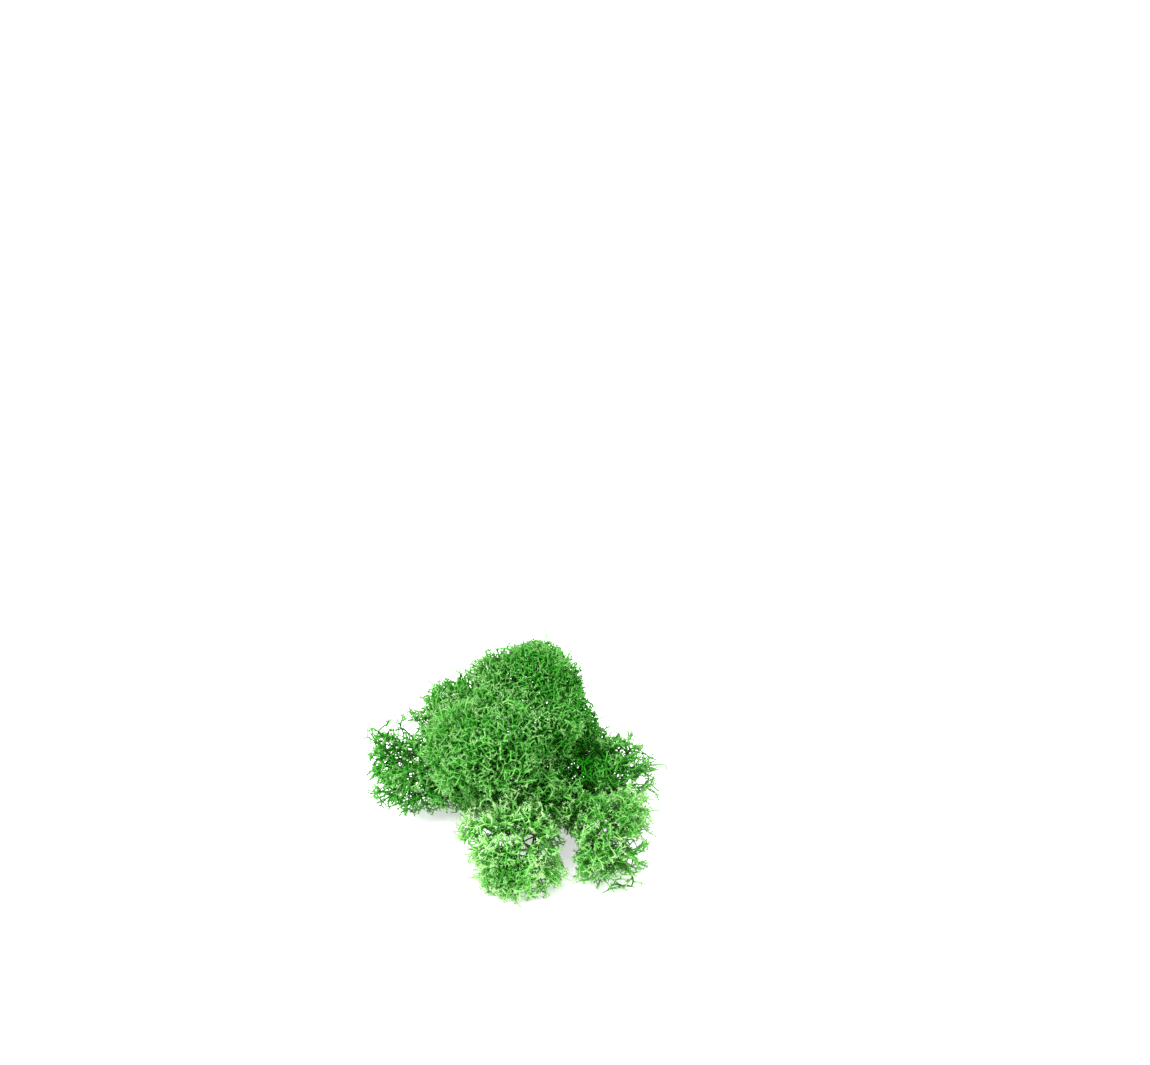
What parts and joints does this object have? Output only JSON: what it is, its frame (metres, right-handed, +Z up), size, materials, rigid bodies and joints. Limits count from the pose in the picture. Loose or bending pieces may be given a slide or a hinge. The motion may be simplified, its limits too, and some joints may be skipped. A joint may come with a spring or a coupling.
{
  "type": "reindeer moss clump",
  "caption": "Loose clump of springy, much-forked green lichen stalks with rounded heads, for ground cover or filling in arrangements. It rests on its flattened underside.",
  "frame": {"origin": "middle of the clump's outline seen from above, on the plane that it rests on", "axes": "+Z up, +X to the right and -Y towards the viewer of the picture"},
  "size_m": [0.0872, 0.0816, 0.0564],
  "materials": {
    "pale_green_lichen": "matte, slightly translucent",
    "mid_green_lichen": "matte, slightly translucent",
    "deep_green_lichen": "matte, slightly translucent"
  },
  "bodies": {
    "root": {"crown_tuft": "mid_green_lichen", "shoulder_tuft": "pale_green_lichen", "left_tuft": "deep_green_lichen", "front_tuft": "pale_green_lichen", "lower_front_tuft": "mid_green_lichen", "lower_right_tuft": "mid_green_lichen", "right_tuft": "pale_green_lichen", "back_left_tuft": "deep_green_lichen", "back_right_tuft": "deep_green_lichen"}
  },
  "joints": []
}
